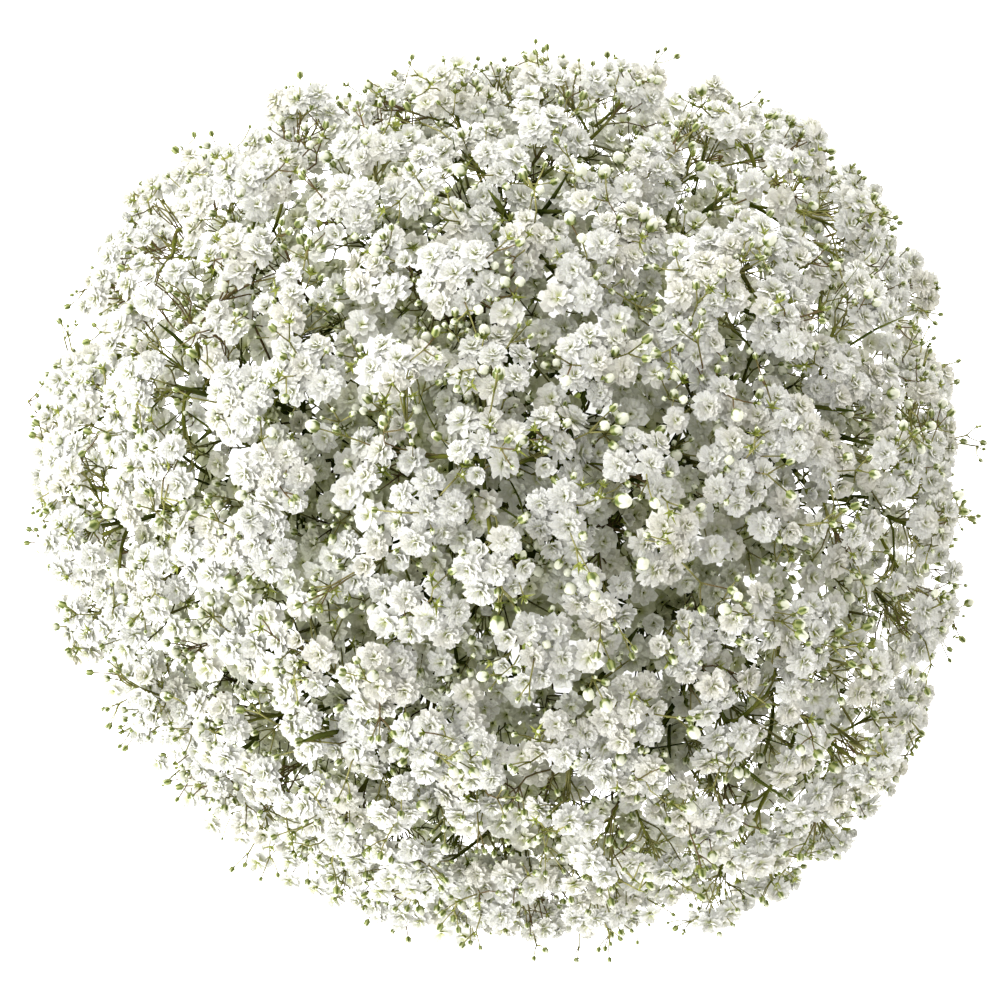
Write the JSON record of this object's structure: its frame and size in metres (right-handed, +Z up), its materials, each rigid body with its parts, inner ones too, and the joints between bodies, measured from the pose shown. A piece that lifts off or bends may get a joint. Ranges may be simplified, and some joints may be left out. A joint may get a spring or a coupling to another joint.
{
  "type": "gypsophila bunch",
  "caption": "Round hand-tied bunch of double white gypsophila: cut stems cross in a spiral under twine, stand on splayed cut ends and branch into one domed head of small ruffled flowers.",
  "frame": {"origin": "middle of the centre stem's cut end, on the surface that the bunch stands on", "axes": "+Z up along the centre stem to the top of the head, +X and +Y level; +Y is the top edge of the head in a view from straight above"},
  "size_m": [0.2869, 0.2702, 0.3365],
  "materials": {
    "plant": "matt, fresh plant tissue",
    "petals": "matt, thin and slightly translucent",
    "stems": "matt green stem with a waxy bloom",
    "twine": "natural twisted jute"
  },
  "bodies": {
    "root": {"stem_centre_1": "plant", "stem_inner_1": "plant", "stem_inner_2": "plant", "stem_inner_3": "plant", "stem_inner_4": "plant", "stem_inner_5": "plant", "stem_outer_1": "plant", "stem_outer_2": "plant", "stem_outer_3": "plant", "stem_outer_4": "plant", "stem_outer_5": "plant", "stem_outer_6": "plant", "stem_outer_7": "plant", "stem_outer_8": "plant", "twine": "twine"}
  },
  "joints": []
}
